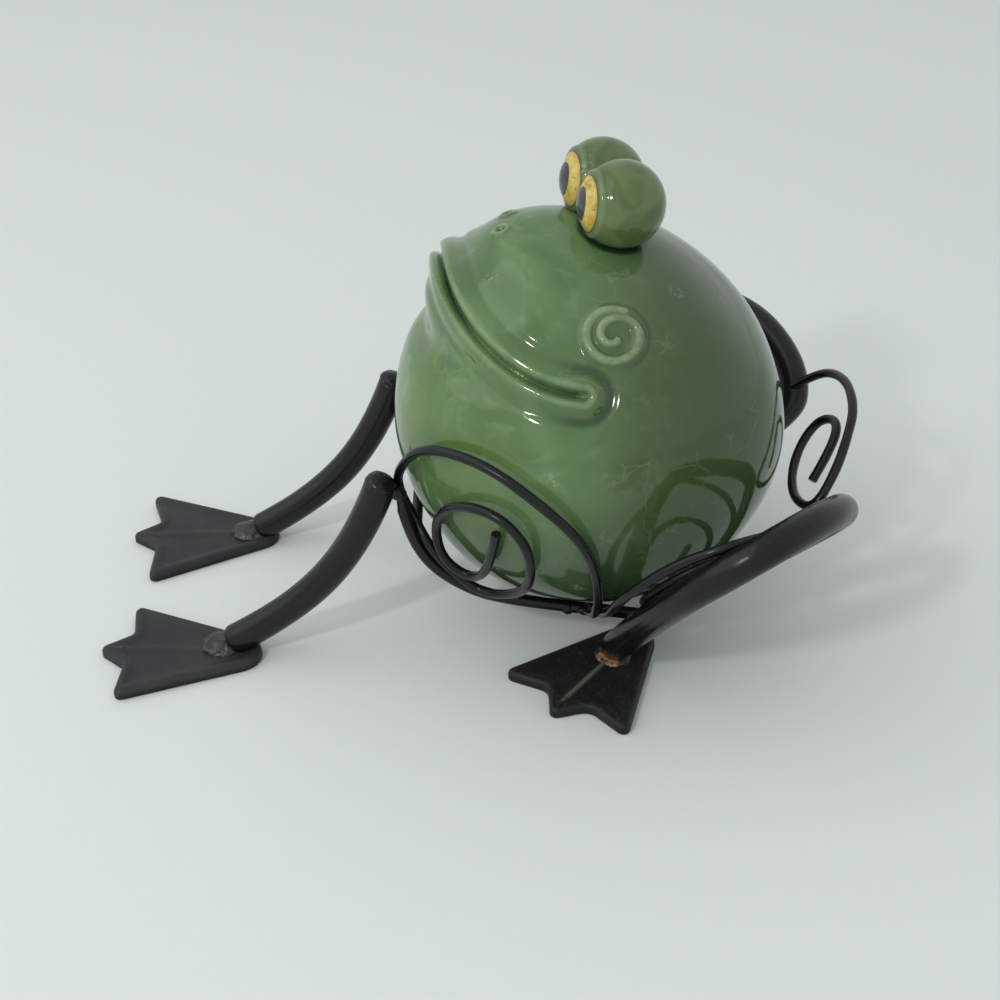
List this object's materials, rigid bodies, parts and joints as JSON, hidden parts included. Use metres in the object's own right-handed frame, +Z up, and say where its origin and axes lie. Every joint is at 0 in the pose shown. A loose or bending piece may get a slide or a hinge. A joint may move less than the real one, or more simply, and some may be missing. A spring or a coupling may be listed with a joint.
{
  "type": "frog figurine",
  "caption": "Garden frog ornament: a hollow glazed clay ball with a frog's face, held in a welded cradle of bent steel tube and wire that makes its legs, webbed feet, scrolls and tail.",
  "frame": {"origin": "on the surface the frog stands on, below the middle of its box", "axes": "+Z up, the frog faces -Y, its own left side is +X"},
  "size_m": [0.1742, 0.2478, 0.1585],
  "materials": {
    "green_glaze": "glossy green glaze on fired clay",
    "eye_glaze": "glossy olive glaze with an ochre iris and a dark pupil",
    "black_steel": "satin black paint on steel tube, rod and wire",
    "foot_plate": "matt charcoal paint on stamped steel, dusty",
    "weld_metal": "lumpy weld metal under worn black paint, rusting at one ankle"
  },
  "bodies": {
    "root": {"body_shell": "green_glaze", "eye_left": "eye_glaze", "eye_right": "eye_glaze", "tail_scroll": "black_steel", "front_cross_hoop": "black_steel", "bottom_cross_bar": "black_steel", "front_leg_left": "black_steel", "front_leg_right": "black_steel", "front_leg_cap_left": "black_steel", "front_leg_cap_right": "black_steel", "front_foot_left": "foot_plate", "front_foot_right": "foot_plate", "rear_leg_left": "black_steel", "rear_leg_right": "black_steel", "rear_foot_left": "foot_plate", "rear_foot_right": "foot_plate", "front_rail_left": "black_steel", "front_rail_right": "black_steel", "rear_rail_left": "black_steel", "rear_rail_right": "black_steel", "front_scroll_left": "black_steel", "front_scroll_right": "black_steel", "rear_scroll_left": "black_steel", "rear_scroll_right": "black_steel", "front_foot_welds": "weld_metal", "rear_foot_welds": "weld_metal", "scroll_welds": "black_steel"}
  },
  "joints": []
}
